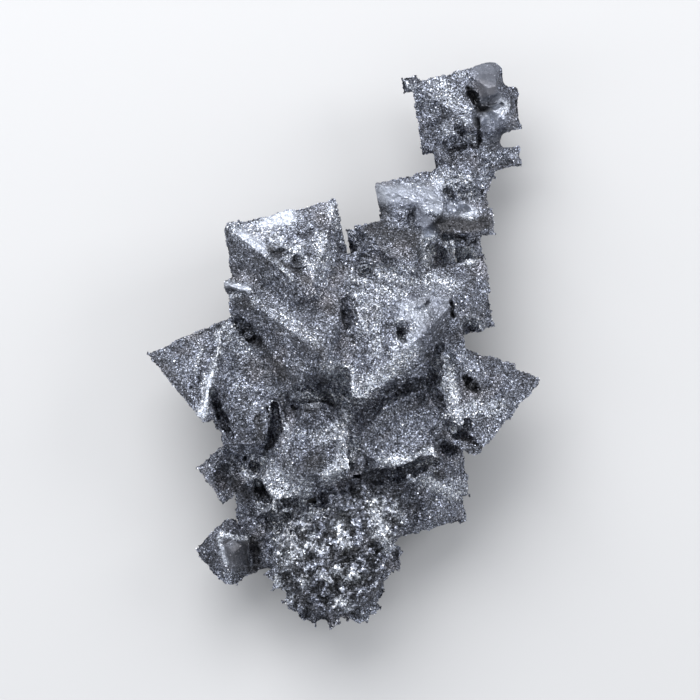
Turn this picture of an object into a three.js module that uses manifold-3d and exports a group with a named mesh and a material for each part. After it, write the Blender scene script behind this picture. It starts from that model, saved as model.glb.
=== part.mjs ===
// A cluster of hematite crystals that kept the octahedral form of the magnetite they replaced.
// Millimetres, +Z up. The specimen lies on its flat broken back. +Y runs from its rough root to
// the tip of its upper arm, and the origin is on the ground under the middle of its outline.
import * as THREE from "three";
import { ConvexGeometry } from "three/addons/geometries/ConvexGeometry.js";
import { mergeVertices } from "three/addons/utils/BufferGeometryUtils.js";
import Module from "manifold-3d";

const wasm = await Module();
wasm.setup();

// Most crystals grew parallel. The front corner of each leans this far right and down, in units
// of its length, and the crystal is turned this many degrees about it.
const SHARED_LEAN = [0.25, -0.31];
const SHARED_SPIN = -34;

// Every crystal is an octahedron: its centre in mm, its reach from centre to corner in mm, and
// where it differs, its own lean and spin. blunt is the part of each corner that is cut off,
// steps the number of growth steps on its faces, and run draws it out into a roof.
const CRYSTALS = [
  // The upper left side: two large crystals, one a step below the other.
  { name: "upper left", at: [-7.6, 11, 14.5], reach: 13, blunt: 0.05, steps: 12 },
  { name: "second step", at: [-5.8, 1.9, 13.5], reach: 15.2, blunt: 0.03, steps: 12 },
  { name: "left root of the second step", at: [-11.4, 5, 10], reach: 7, steps: 2 },

  // The middle: a crystal that shows one bright face, and those that stand around it.
  { name: "bright middle", at: [10, 1.2, 16], reach: 13.6, lean: [0.49, 0.37], spin: -42,
    blunt: 0.07, steps: 6 },
  { name: "bright middle's lower corner", at: [5.2, -3.2, 18.9], reach: 8, lean: [0.49, 0.37], spin: -42,
    blunt: 0.04, steps: 0 },
  { name: "right shoulder", at: [16.2, 6.5, 13], reach: 8.8, steps: 8 },
  { name: "behind the arm's foot", at: [8.3, 13, 12], reach: 9, steps: 10 },
  { name: "lower middle face", at: [8.1, -14.1, 12.4], reach: 10.6, lean: [0.66, -0.43], spin: 1,
    blunt: 0.16, steps: 2 },
  { name: "crescent", at: [-3.4, -15.2, 15.1], reach: 9.7, lean: [0.77, -0.25], spin: 24,
    blunt: 0.22, steps: 2 },
  { name: "below the crescent", at: [-7.6, -20, 12.4], reach: 7, lean: [0.77, -0.25], spin: 24,
    blunt: 0.2, steps: 3 },
  { name: "lower right", at: [14, -19.4, 11], reach: 7, steps: 6 },
  { name: "lower right, below", at: [12.6, -22.6, 8], reach: 8.4, steps: 6 },

  // The two wings that point left and right.
  { name: "left wing", at: [-18.2, -4, 12], reach: 11.5, lean: [-0.16, -0.68], spin: -13, steps: 4 },
  { name: "left wing's ridge", at: [-17.4, 1.6, 19.8], reach: 0.9, run: [-2.6, -12.6, 0], steps: 0 },
  { name: "left wing's lower half", at: [-14.9, -2.4, 13.5], reach: 8, lean: [-0.66, -0.5], spin: -3,
    blunt: 0.14, run: [2.5, -9.4, -1.4], steps: 3 },
  { name: "right wing", at: [18.2, -8.1, 13], reach: 11.8, lean: [-0.17, 0.69], spin: 14, blunt: 0.05,
    steps: 8 },

  // Two small crystals on the lower left edge.
  { name: "small left", at: [-17.2, -19.1, 9], reach: 5.6, lean: [-0.45, -0.05], spin: -6, steps: 3 },
  { name: "lowest left", at: [-16.5, -30.8, 8.5], reach: 6.6, lean: [0.12, 0.22], spin: 0,
    blunt: 0.2, steps: 3 },

  // The arm that climbs to the upper right.
  { name: "arm's foot", at: [11, 19, 11], reach: 8.8, lean: [0.42, -0.05], blunt: 0.04, steps: 4 },
  { name: "arm's roof", at: [14.6, 16.6, 15], reach: 3.5, run: [5.8, 0.7, 0], steps: 0 },
  { name: "arm's side", at: [19.2, 20.1, 10.5], reach: 4.4, steps: 2 },
  { name: "arm's side, lower", at: [18.6, 14.2, 9.5], reach: 3.8, steps: 2 },
  { name: "arm's neck", at: [17.5, 25.5, 10], reach: 6.4, steps: 5 },
  { name: "arm's head", at: [16.5, 34.3, 10], reach: 8.8, blunt: 0.04, steps: 7 },
  { name: "head's upper block", at: [21, 38, 12], reach: 5, blunt: 0.2, steps: 0 },
  { name: "head's left corner", at: [10, 38.1, 10.4], reach: 2.7, blunt: 0.15, steps: 1 },
  { name: "head's right block", at: [22.9, 34, 10.5], reach: 5.6, blunt: 0.1, steps: 3 },
  { name: "neck's right side", at: [21.4, 27.4, 9.4], reach: 4, steps: 1 },
  { name: "neck's spur", at: [24.8, 27.3, 9], reach: 3.1, blunt: 0.12, steps: 1 },

  // The heart of the cluster and its back, seen only between the others and from behind.
  { name: "left of the arm's foot", at: [3.9, 14.5, 10], reach: 5.2, steps: 2 },
  { name: "heart", at: [1.3, -7.4, 5.5], reach: 13, steps: 0 },
  { name: "lower heart", at: [2, -20.5, 7], reach: 9.5, steps: 0 },
  { name: "left foot", at: [-11.2, -21.5, 4.5], reach: 8, steps: 2 },
  { name: "below the left wing", at: [-13.6, -15, 4], reach: 6.5, steps: 1 },
  { name: "back of the left wing", at: [-13.5, -6, 5.5], reach: 8.5, steps: 6 },
  { name: "back of the right wing", at: [14.5, -8.5, 6], reach: 9, lean: [-0.2, 0.4], steps: 6 },
  { name: "back of the upper left", at: [-8, 12, 6], reach: 9, steps: 4 },
  { name: "back of the shoulder", at: [11, 9, 5], reach: 10, steps: 4 },
  { name: "back of the arm's foot", at: [14, 19.5, 6.5], reach: 7.5, steps: 3 },
  { name: "back of the arm's neck", at: [18, 27.5, 7], reach: 6.5, lean: [0.1, 0.3], steps: 3 },
  { name: "foot of the lowest left", at: [-11.5, -30, 4.5], reach: 6.5, steps: 2 },
];

// Growth steps: smaller crystals, parallel to the one that carries them, that stand a little
// proud of its faces. None is centred closer to an edge than this share of the face.
const STEP_REACH = [0.14, 0.34];
const STEP_PROUD = [0.25, 0.75];
const STEP_EDGE_SHARE = 0.12;

// The root: a rounded mass of very small crystals that point every way, in two swellings. The
// lumps stand between two heights on their swelling, in parts of its height over its middle.
const ROOT_SWELLINGS = [
  { at: [-1.2, -31.6, 8.5], radii: [9.1, 9.6, 9.2], lumps: 80 },
  { at: [4.2, -25.2, 10.2], radii: [6.4, 6, 6.2], lumps: 26 },
];
const LUMP_REACH = [1.2, 2.6];
const LUMP_HEIGHT = [-0.7, 1];
const LUMP_LEAN = 0.6;
const LUMP_SPIN = 45;
const ROOT_SEED = 71;
const ROOT_SEGMENTS = [12, 8];

// Hollows: where a face grew slower than its edges it is dished, as two balls that overlap.
const HOLLOWS = [
  { name: "in the crescent", at: [-4.2, -14.4, 24.8], radius: 5.6 },
  { name: "in the crescent, lower right", at: [-2.6, -16.8, 24.6], radius: 5.4 },
  { name: "in the lower middle face", at: [9.6, -12.4, 22.3], radius: 5 },
  { name: "in the lower middle face, lower left", at: [7.2, -14.4, 22.8], radius: 5.2 },
];
const HOLLOW_SEGMENTS = [14, 9];

// Pits: the empty forms of small crystals, sunk to their middle in a face.
const PITS = [
  { name: "upper left, left pit", at: [-8.6, 13.4, 22.6], reach: 1.5 },
  { name: "upper left, middle pit", at: [-6.2, 12.4, 23], reach: 1.3 },
  { name: "upper left, upper pit", at: [-4.6, 16.4, 20.3], reach: 1.1 },
  { name: "bright middle, left pit", at: [6.2, 6.8, 23.6], reach: 0.8 },
  { name: "spur's pit", at: [25.6, 27.3, 10.2], reach: 1 },
];

// Crevices: clefts that open upwards. Each follows a path in plan. Halfway along it is as wide as
// stated from its top height up, and comes to an edge at its floor. It tapers towards its ends.
const CREVICES = [
  { name: "left of the right wing", top: 20, floor: 14.5, width: 2,
    path: [[14.4, -0.3], [13.9, -3.6], [12.9, -6.4], [13.9, -8.8], [15.3, -11.4]] },
  { name: "above the lower middle face", top: 19.5, floor: 14, width: 2.4,
    path: [[12.6, -5.8], [9, -6.6], [5.8, -8.2], [3, -11]] },
  { name: "right of the crescent", top: 19.5, floor: 14.5, width: 2,
    path: [[2.6, -10.6], [1.9, -13.6], [1.7, -16.8], [2.4, -20]] },
  { name: "under the lower middle face", top: 14.5, floor: 9.5, width: 2.2,
    path: [[3.1, -19.6], [6.5, -19.7], [9.6, -19], [12.4, -17.4], [14.4, -17.8]] },
  { name: "below the left wing's ridge", top: 18.5, floor: 10, width: 1.5,
    path: [[-18.9, -6.6], [-18, -9.6], [-17.2, -12.2], [-15, -15.3]] },
  { name: "right of the left wing", top: 15, floor: 9, width: 1.3,
    path: [[-9.8, -8.6], [-9.6, -12], [-10.4, -14.8], [-12.6, -16.6]] },
  { name: "above the left wing", top: 18.5, floor: 14, width: 1.6,
    path: [[-15.4, 3.6], [-13.6, 1.2], [-11.4, -0.8]] },
  { name: "long pit of the right wing", top: 20.6, floor: 17.6, width: 1.2,
    path: [[17.9, -4.9], [19, -6], [20.6, -6.9]] },
  { name: "notch of the right wing", top: 18, floor: 13, width: 1.4,
    path: [[14.9, -11.3], [16.3, -12.9], [17.6, -13.9], [19.6, -15.4]] },
  { name: "branch of that notch", top: 20, floor: 15, width: 1.1, path: [[18.4, -11.2], [17.5, -13.3]] },
  { name: "deep pit of the bright face", top: 24.2, floor: 20.5, width: 1.5,
    path: [[8.5, 3.1], [8.5, 1.9], [8.8, 0.8]] },
  { name: "left of the bright face", top: 20, floor: 17.3, width: 1, path: [[0.3, 7], [0.8, 4], [1, 2]] },
  { name: "under the arm's roof", top: 15.4, floor: 8, width: 1.3,
    path: [[14.5, 15.2], [16.3, 15.1], [18.4, 15.1]] },
  { name: "in the arm's foot", top: 16, floor: 14, width: 0.8, path: [[10.5, 20.9], [10.1, 19], [10.1, 16.8]] },
  { name: "left of the head's upper block", top: 14.5, floor: 11.5, width: 0.9,
    path: [[18.2, 39], [18.7, 37], [19.9, 35.1], [20.5, 33.4]] },
  { name: "below the head's upper block", top: 14.1, floor: 11.5, width: 0.9,
    path: [[20.3, 34.9], [21.9, 35.1], [22.9, 35.7], [23.9, 36.8]] },
  { name: "under the arm's head", top: 13, floor: 10, width: 0.9, path: [[16, 31.6], [18.1, 30.4], [20.4, 30.1]] },
  { name: "hole at the lower left", top: 10.3, floor: 5, width: 2, path: [[-12.7, -20.3], [-11.2, -23.4]] },
  { name: "right of the small left", top: 12, floor: 7, width: 1.5,
    path: [[-16.9, -17.2], [-17.8, -20.2], [-17.1, -22.8]] },
  { name: "right of the lowest left", top: 11, floor: 5, width: 1.8,
    path: [[-13.1, -27.9], [-12.6, -31.6], [-12.8, -35.4]] },
  { name: "above the root", top: 13, floor: 9, width: 1.4, path: [[-11.4, -23.6], [-6.2, -24], [-2, -22.8]] },
];
const CREVICE_CEILING = 40;

// The ground cuts the back off flat.
const GROUND_CUT_SIZE = 200;

// Corners closer than this are one corner.
const SAME_CORNER = 1e-5;

const rootThree = Math.sqrt(3);

function seededRandom(seed) {
  let state = seed;
  return function next() {
    state = (state + 0x6d2b79f5) | 0;
    let mixed = Math.imul(state ^ (state >>> 15), 1 | state);
    mixed = (mixed + Math.imul(mixed ^ (mixed >>> 7), 61 | mixed)) ^ mixed;
    return ((mixed ^ (mixed >>> 14)) >>> 0) / 4294967296;
  };
}

function between([low, high], random) {
  return low + (high - low) * random();
}

function crystalTurn(lean, spin) {
  const up = new THREE.Vector3(0, 0, 1);
  const front = new THREE.Vector3(lean[0], lean[1], Math.sqrt(1 - lean[0] ** 2 - lean[1] ** 2));
  const spun = new THREE.Quaternion().setFromAxisAngle(up, THREE.MathUtils.degToRad(spin));
  return new THREE.Quaternion().setFromUnitVectors(up, front).multiply(spun);
}

function octahedronCorners(reach, blunt) {
  const corners = [];
  for (let axis = 0; axis < 3; axis += 1) {
    for (const side of [-1, 1]) {
      if (blunt === 0) {
        const corner = [0, 0, 0];
        corner[axis] = side * reach;
        corners.push(new THREE.Vector3(...corner));
        continue;
      }
      for (const other of [(axis + 1) % 3, (axis + 2) % 3]) {
        for (const otherSide of [-1, 1]) {
          const corner = [0, 0, 0];
          corner[axis] = side * reach * (1 - blunt);
          corner[other] = otherSide * reach * blunt;
          corners.push(new THREE.Vector3(...corner));
        }
      }
    }
  }
  return corners;
}

function solidFrom(geometry) {
  geometry.deleteAttribute("normal");
  geometry.deleteAttribute("uv");
  const merged = mergeVertices(geometry, SAME_CORNER);
  return new wasm.Manifold(new wasm.Mesh({
    numProp: 3,
    vertProperties: new Float32Array(merged.attributes.position.array),
    triVerts: new Uint32Array(merged.index.array),
  }));
}

function crystalSolid({ at, reach, lean = SHARED_LEAN, spin = SHARED_SPIN, blunt = 0, run }) {
  const turn = crystalTurn(lean, spin);
  const centre = new THREE.Vector3(...at);
  const corners = octahedronCorners(reach, blunt);
  corners.forEach((corner) => corner.applyQuaternion(turn).add(centre));
  if (run) {
    const drawn = new THREE.Vector3(...run);
    corners.push(...corners.map((corner) => corner.clone().add(drawn)));
  }
  return solidFrom(new ConvexGeometry(corners));
}

// One growth step sits at a random place on a random face, sunk until it stands proud.
function growthStep(crystal, random) {
  const { at, reach, lean = SHARED_LEAN, spin = SHARED_SPIN } = crystal;
  const signs = [random(), random(), random()].map((value) => (value < 0.5 ? -1 : 1));
  const shares = [random(), random(), random()].map((value) => value + STEP_EDGE_SHARE);
  const total = shares[0] + shares[1] + shares[2];
  const place = new THREE.Vector3(...shares.map((share, i) => (signs[i] * reach * share) / total));
  const stepReach = reach * between(STEP_REACH, random);
  const lift = between(STEP_PROUD, random) - stepReach / rootThree;
  const outward = new THREE.Vector3(...signs).normalize();
  place.addScaledVector(outward, lift).applyQuaternion(crystalTurn(lean, spin));
  place.add(new THREE.Vector3(...at));
  return crystalSolid({ at: place.toArray(), reach: stepReach, lean, spin });
}

function ball(radii, at, segments) {
  const shape = new THREE.SphereGeometry(1, ...segments);
  shape.rotateX(Math.PI / 2).scale(...radii).translate(...at);
  return solidFrom(shape);
}

function rootSolids() {
  const random = seededRandom(ROOT_SEED);
  const solids = [];
  for (const { at, radii, lumps } of ROOT_SWELLINGS) {
    solids.push(ball(radii, at, ROOT_SEGMENTS));
    for (let i = 0; i < lumps; i += 1) {
      const height = between(LUMP_HEIGHT, random);
      const around = between([0, 2 * Math.PI], random);
      const flat = Math.sqrt(1 - height * height);
      const place = [flat * Math.cos(around), flat * Math.sin(around), height];
      solids.push(crystalSolid({
        at: place.map((value, axis) => at[axis] + value * radii[axis]),
        reach: between(LUMP_REACH, random),
        lean: [between([-LUMP_LEAN, LUMP_LEAN], random), between([-LUMP_LEAN, LUMP_LEAN], random)],
        spin: between([-LUMP_SPIN, LUMP_SPIN], random),
      }));
    }
  }
  return solids;
}

function growCluster() {
  const solids = rootSolids();
  CRYSTALS.forEach((crystal, index) => {
    const random = seededRandom(index + 1);
    solids.push(crystalSolid(crystal));
    for (let i = 0; i < crystal.steps; i += 1) {
      solids.push(growthStep(crystal, random));
    }
  });
  return wasm.Manifold.union(solids);
}

// The section of a crevice at one point of its path: an edge below, and two walls up from its top.
function creviceSection([x, y], across, share, { top, floor, width }) {
  const lowest = top - (top - floor) * share;
  const corners = [new THREE.Vector3(x, y, lowest)];
  for (const height of [top, CREVICE_CEILING]) {
    for (const side of [-1, 1]) {
      const corner = new THREE.Vector3(x, y, height);
      corners.push(corner.addScaledVector(across, (side * width * share) / 2));
    }
  }
  return corners;
}

// One straight stretch of a crevice, from one point of its path to the next.
function creviceStretch(crevice, index) {
  const { path } = crevice;
  const [from, to] = [path[index], path[index + 1]];
  const across = new THREE.Vector3(from[1] - to[1], to[0] - from[0], 0).normalize();
  const shares = [index, index + 1].map((i) => Math.sin((Math.PI * (i + 0.5)) / path.length));
  return solidFrom(new ConvexGeometry([
    ...creviceSection(from, across, shares[0], crevice),
    ...creviceSection(to, across, shares[1], crevice),
  ]));
}

function openingsInTheFaces() {
  const cutters = HOLLOWS.map(({ at, radius }) => ball([radius, radius, radius], at, HOLLOW_SEGMENTS));
  cutters.push(...PITS.map(crystalSolid));
  for (const crevice of CREVICES) {
    for (let index = 0; index < crevice.path.length - 1; index += 1) {
      cutters.push(creviceStretch(crevice, index));
    }
  }
  return wasm.Manifold.union(cutters);
}

// Chips that the cuts set free fall away, and gaps sealed inside the stone are closed.
function largestShell(solid) {
  const shells = solid.decompose();
  return shells.reduce((best, shell) => (shell.volume() > best.volume() ? shell : best));
}

function cutOnGround(solid) {
  const below = new THREE.BoxGeometry(GROUND_CUT_SIZE, GROUND_CUT_SIZE, GROUND_CUT_SIZE);
  below.translate(0, 0, -GROUND_CUT_SIZE / 2);
  return solid.subtract(solidFrom(below));
}

function geometryFrom(solid) {
  const { vertProperties, triVerts } = solid.getMesh();
  const geometry = new THREE.BufferGeometry();
  geometry.setAttribute("position", new THREE.BufferAttribute(vertProperties, 3));
  geometry.setIndex(new THREE.BufferAttribute(triVerts, 1));
  return geometry;
}

const hematite = new THREE.MeshStandardMaterial({ color: 0x5a5f69, roughness: 0.45, metalness: 0.6 });
const stone = cutOnGround(growCluster().subtract(openingsInTheFaces()));
const geometry = geometryFrom(largestShell(stone));
geometry.computeBoundingBox();
const middle = geometry.boundingBox.getCenter(new THREE.Vector3());
geometry.translate(-middle.x, -middle.y, 0);
geometry.computeVertexNormals();

const cluster = new THREE.Mesh(geometry, hematite);
cluster.name = "hematite_cluster";
const specimen = new THREE.Group();
specimen.add(cluster);

export default specimen;
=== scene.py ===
import math

import bmesh
import bpy
import numpy as np
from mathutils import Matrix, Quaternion, Vector, noise


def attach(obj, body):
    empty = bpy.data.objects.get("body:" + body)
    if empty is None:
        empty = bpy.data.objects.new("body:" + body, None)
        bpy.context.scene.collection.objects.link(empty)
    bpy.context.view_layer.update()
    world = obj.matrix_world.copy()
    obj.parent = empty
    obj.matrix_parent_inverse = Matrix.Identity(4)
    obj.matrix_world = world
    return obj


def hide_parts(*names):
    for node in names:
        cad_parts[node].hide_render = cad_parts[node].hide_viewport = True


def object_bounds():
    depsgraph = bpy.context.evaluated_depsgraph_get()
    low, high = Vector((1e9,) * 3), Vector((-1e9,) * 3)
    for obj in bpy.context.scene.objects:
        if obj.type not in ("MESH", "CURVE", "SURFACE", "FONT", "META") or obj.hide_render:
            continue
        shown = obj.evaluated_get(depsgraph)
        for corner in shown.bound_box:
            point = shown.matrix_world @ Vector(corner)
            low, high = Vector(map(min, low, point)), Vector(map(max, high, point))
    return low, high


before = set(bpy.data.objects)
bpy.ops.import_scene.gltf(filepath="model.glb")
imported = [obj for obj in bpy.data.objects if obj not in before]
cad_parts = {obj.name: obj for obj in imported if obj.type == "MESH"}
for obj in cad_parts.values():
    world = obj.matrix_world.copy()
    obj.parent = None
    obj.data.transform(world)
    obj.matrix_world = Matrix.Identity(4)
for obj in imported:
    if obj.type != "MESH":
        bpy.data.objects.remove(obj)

cad_low, cad_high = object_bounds()


# The stone. The real piece is one cluster of octahedral crystals of hematite, grown together.
# It is solid, steel-grey and finely granular, so the frame's plain solid is remeshed finely,
# sunk by the height of the grains that cover it, and given its growth steps, pits and cracks.
MM = 0.001
STONE_NODE = "hematite_cluster"
STONE_VOXEL = 0.3 * MM
STONE_TRIANGLES = 190_000
MERGE_DISTANCE = 1e-7
GRAIN_BED = 0.13 * MM
# Below this height the stone rests on its flat broken back, and keeps the solid's shape.
RESTING_HEIGHT = 0.5 * MM

# The lattice that most crystals share: the lean of its front corner, and its turn about it.
LATTICE_LEAN = (0.25, -0.31)
LATTICE_SPIN = math.radians(-34)

# Relief, from coarse to fine: the size of its cells, how far apart their steps lie, and how
# far the small corners in them stand out.
RELIEF = [
    {"cell": 5.0 * MM, "step": 0.18 * MM, "corner": 0.08 * MM},
    {"cell": 2.1 * MM, "step": 0.22 * MM, "corner": 0.18 * MM},
    {"cell": 1.0 * MM, "step": 0.14 * MM, "corner": 0.18 * MM},
    {"cell": 0.55 * MM, "step": 0.06 * MM, "corner": 0.12 * MM},
]
RELIEF_LIMIT = 0.7 * MM
# The distance from a cell's corner at which the relief is level, and how far apart the places
# are at which neighbouring cells read their random steps.
CORNER_LEVEL = 0.45
STEP_SPREAD = 13.7

# Strokes over the stone, in mm in plan, listed by the part of the stone that they lie on: a path
# or a single point, a radius, and how strong they are.
# How steeply they fade out towards their radius:
STROKE_FADE = 1.6
# Where the faces grew smooth: the arm's foot and roof, the blocks on its head, the lowest
# crystal at the left, and a few ledges.
SMOOTH = [
    # The head.
    {"path": [(21.3, 40.4), (21.9, 36.3)], "radius": 3.2, "share": 1.0},
    {"path": [(21.2, 33.6), (23.4, 31.8)], "radius": 3.0, "share": 0.8},
    # The arm's foot, roof and neck.
    {"path": [(6, 22.3), (12.8, 22.1)], "radius": 3.2, "share": 0.8},
    {"path": [(13.4, 20.4), (18.7, 20.4)], "radius": 1.6, "share": 0.9},
    {"path": [(11.3, 19.3), (12.8, 16.8)], "radius": 1.6, "share": 0.8},
    {"path": [(14.3, 17.7), (20.2, 17.7)], "radius": 1.6, "share": 0.35},
    # The upper left crystal and the groove at its right.
    {"path": [(-10.7, 18.3), (-7.5, 19.5)], "radius": 1.4, "share": 0.7},
    {"path": [(-14.1, 16.3), (-11.6, 14.5)], "radius": 1.4, "share": 0.6},
    {"path": [(-16.6, 8.9), (-13.4, 8.6)], "radius": 0.9, "share": 0.7},
    # The bright middle.
    {"path": [(9.4, 5.4), (14.6, 6.8), (11.3, 1)], "radius": 2.6, "share": 0.55},
    # The left wing.
    {"path": [(-19.2, -4.6), (-19.4, -7), (-20.3, -10)], "radius": 0.8, "share": 0.5},
    # The small crystals at the lower left.
    {"path": [(-16.3, -29.2)], "radius": 2.0, "share": 0.8},
    {"path": [(-15.4, -30.2)], "radius": 3.6, "share": 0.85},
]
# Where they are coarser: the root, and less so two pitted faces.
COARSE = [
    # The upper left crystal and the groove at its right.
    {"path": [(-8, 14), (-4, 11)], "radius": 5, "share": 0.3},
    # The bright middle.
    {"path": [(5, 13), (13, 13)], "radius": 4.5, "share": 0.3},
    # The root.
    {"path": [(-9, -23)], "radius": 3, "share": 0.6},
    {"path": [(4, -25.2)], "radius": 8, "share": 1.0},
    {"path": [(-1.6, -31.4)], "radius": 12.5, "share": 1.0},
]
# Painted highlights and painted light: the colour is lightened towards a pale highlight colour
# on ledges, lips and the brightest faces, and on some spots that the stone's shape leaves in
# shade.
PAINTED_HIGHLIGHTS = [
    # The head.
    {"path": [(16.8, 40.7), (18.1, 39.9)], "radius": 0.9, "share": 0.4},
    {"path": [(9.1, 39.2), (10, 38)], "radius": 0.7, "share": 0.9},
    {"path": [(14.6, 38.5), (18.2, 33.3)], "radius": 2.2, "share": 0.25},
    {"path": [(21.9, 33.6), (24.1, 35.5)], "radius": 1.4, "share": 0.5},
    {"path": [(15.3, 31.8), (19, 32.6)], "radius": 1.4, "share": 0.3},
    # The arm's foot, roof and neck.
    {"path": [(14.6, 24.5), (18.2, 23.6)], "radius": 2.0, "share": 0.5},
    {"path": [(17.4, 23.6), (19.4, 22.8)], "radius": 1.4, "share": 0.6},
    {"path": [(6.2, 22.4), (11.6, 23), (14.6, 20.8)], "radius": 2.2, "share": 0.4},
    {"path": [(12.8, 20.4), (16.9, 20.7), (19, 19.8)], "radius": 1.4, "share": 0.6},
    {"path": [(12.8, 15.6), (13.7, 14.8), (13.4, 13)], "radius": 1.4, "share": 0.9},
    {"path": [(16.6, 14.6), (18.8, 13.6)], "radius": 1.8, "share": 0.95},
    # The upper left crystal and the groove at its right.
    {"path": [(-1, 20.1), (0.4, 17.7)], "radius": 1.6, "share": 0.6},
    {"path": [(-11.6, 18), (-7.2, 19.5)], "radius": 1.8, "share": 0.6},
    {"path": [(-10.4, 16.8), (-9, 15.4)], "radius": 1.4, "share": 0.5},
    {"path": [(-14.9, 16.8), (-11.8, 14.9)], "radius": 1.8, "share": 0.55},
    {"path": [(-2.8, 15.8), (-1.8, 12.6)], "radius": 1.8, "share": 0.5},
    {"path": [(-7.8, 13), (-5.1, 15.2)], "radius": 0.8, "share": 0.5},
    {"path": [(-7.6, 14.6), (-5.8, 13.4), (-4.8, 12)], "radius": 0.7, "share": 0.6},
    {"path": [(-3.4, 12.4), (-2.8, 10.1)], "radius": 1.4, "share": 0.4},
    {"path": [(-8.5, 11.5), (-7.1, 9.6)], "radius": 0.7, "share": 0.7},
    {"path": [(-16.8, 9.2), (-13.4, 8.6)], "radius": 1.0, "share": 0.5},
    {"path": [(-16.6, 6.8), (-15, 7.4)], "radius": 0.8, "share": 0.45},
    # The bright middle.
    {"path": [(2.8, 10.5), (9.4, 10.1), (15.3, 9)], "radius": 2.4, "share": 0.45},
    {"path": [(10.8, 9.8)], "radius": 1.2, "share": 0.6},
    {"path": [(5.6, 8.4), (8.4, 7.8)], "radius": 1.4, "share": 0.5},
    {"path": [(2.5, 9), (3.5, 2.4)], "radius": 1.6, "share": 0.3},
    {"path": [(4.6, 7.2), (4.9, -0.6)], "radius": 1.2, "share": 0.35},
    {"path": [(9.4, 5.4), (11, 5.4), (10, 1.7), (8.2, -2)], "radius": 2.0, "share": 0.4},
    {"path": [(-0.9, -3.8), (2.1, -6.7), (7.2, -3.8), (10.1, -0.8)],
     "radius": 2.2, "share": 0.55},
    # The flank at the right, above the right wing.
    {"path": [(19, 3.9), (20.4, 2.7)], "radius": 1.3, "share": 0.6},
    # The stepped faces below the upper left crystal.
    {"path": [(-12.2, 6.4), (-8.5, 4.9), (-6, 2.6), (-3.7, 1.1)], "radius": 1.4, "share": 0.3},
    {"path": [(-16.5, 3), (-14.9, 0.2)], "radius": 1.7, "share": 0.4},
    {"path": [(-1.6, -3.4), (0.2, -4)], "radius": 2.0, "share": 0.9},
    # The left wing.
    {"path": [(-18, 1.7), (-17.5, 0), (-18.4, -2.2), (-18.8, -4.4)],
     "radius": 1.0, "share": 0.8},
    {"path": [(-20.6, -0.2), (-21.2, -2.6), (-21, -4)], "radius": 0.4, "share": 0.5},
    {"path": [(-19.2, -4.6), (-19.4, -7), (-20.3, -10)], "radius": 1.4, "share": 0.9},
    # The right wing.
    {"path": [(14.7, -2.7), (15.7, -7.1), (16.8, -11.8)], "radius": 1.4, "share": 0.7},
    {"path": [(19, -9.4), (23.6, -8.6)], "radius": 1.4, "share": 0.4},
    {"path": [(15.3, -10.5), (19.7, -8.6)], "radius": 1.5, "share": 0.4},
    # The crescent.
    {"path": [(-3.1, -13), (-0.1, -12.3)], "radius": 1.8, "share": 0.45},
    {"path": [(0.2, -11.6), (0.9, -14.5), (0.3, -17.4), (-1.8, -19.4)],
     "radius": 1.8, "share": 0.9},
    {"path": [(-10.7, -17.6), (-7.5, -20), (-5.1, -20.5)], "radius": 1.5, "share": 0.5},
    # The lower middle face.
    {"path": [(6.5, -17), (10.4, -16.7), (13.4, -15.8)], "radius": 1.6, "share": 1.0},
    # The lower right.
    {"path": [(17, -20), (20, -21)], "radius": 1.4, "share": 0.4},
    {"path": [(10.1, -19.3), (14.2, -20.9), (17.5, -22)], "radius": 1.2, "share": 0.75},
    {"path": [(17.6, -22), (20.2, -21.6)], "radius": 1.2, "share": 0.5},
    # The small crystals at the lower left.
    {"path": [(-13.6, -17.4), (-13, -19.8)], "radius": 1.5, "share": 0.6},
    {"path": [(-17.1, -32.1), (-18.2, -27.3), (-13.8, -28)], "radius": 0.4, "share": 0.9},
    # The root.
    {"path": [(-11.5, -17.4), (-10.1, -21.1), (-4.9, -22)], "radius": 1.3, "share": 0.55},
    {"path": [(-7, -22), (-5, -23)], "radius": 1.6, "share": 0.6},
    {"path": [(-5.3, -24.3), (-2.4, -23.3)], "radius": 0.7, "share": 0.6},
    {"path": [(8.4, -23.8), (9.2, -24.8)], "radius": 1.3, "share": 0.6},
    {"path": [(-11.6, -23.8), (-9, -24.2), (-8.8, -27.8)], "radius": 2.0, "share": 0.6},
    {"path": [(4.8, -23), (7, -29.2)], "radius": 1.7, "share": 0.8},
    {"path": [(-5.6, -24.6), (-5.2, -28)], "radius": 1.3, "share": 0.6},
    {"path": [(-0.2, -25.4), (0.8, -28.6)], "radius": 1.2, "share": 0.6},
    {"path": [(-8.6, -22.8), (-8.2, -31.2)], "radius": 2.2, "share": 0.45},
    {"path": [(5.4, -27), (7.2, -28)], "radius": 1.3, "share": 0.7},
    {"path": [(-4.3, -29.1), (-2.9, -29.4)], "radius": 1.0, "share": 0.5},
    {"path": [(-7.2, -29.6), (-5.7, -30.8)], "radius": 0.8, "share": 0.4},
    {"path": [(-0.2, -32.8), (2.2, -33.8)], "radius": 1.2, "share": 0.6},
    {"path": [(-3.4, -33), (-1.9, -34.3)], "radius": 0.9, "share": 0.5},
    {"path": [(-5.4, -34.2)], "radius": 1.2, "share": 0.7},
    {"path": [(-9.7, -34.8)], "radius": 1.6, "share": 0.8},
    {"path": [(-10.7, -35.5), (-8.1, -37)], "radius": 1.0, "share": 0.4},
    {"path": [(-0.9, -37.3), (1, -38.6)], "radius": 1.1, "share": 0.5},
]
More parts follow.
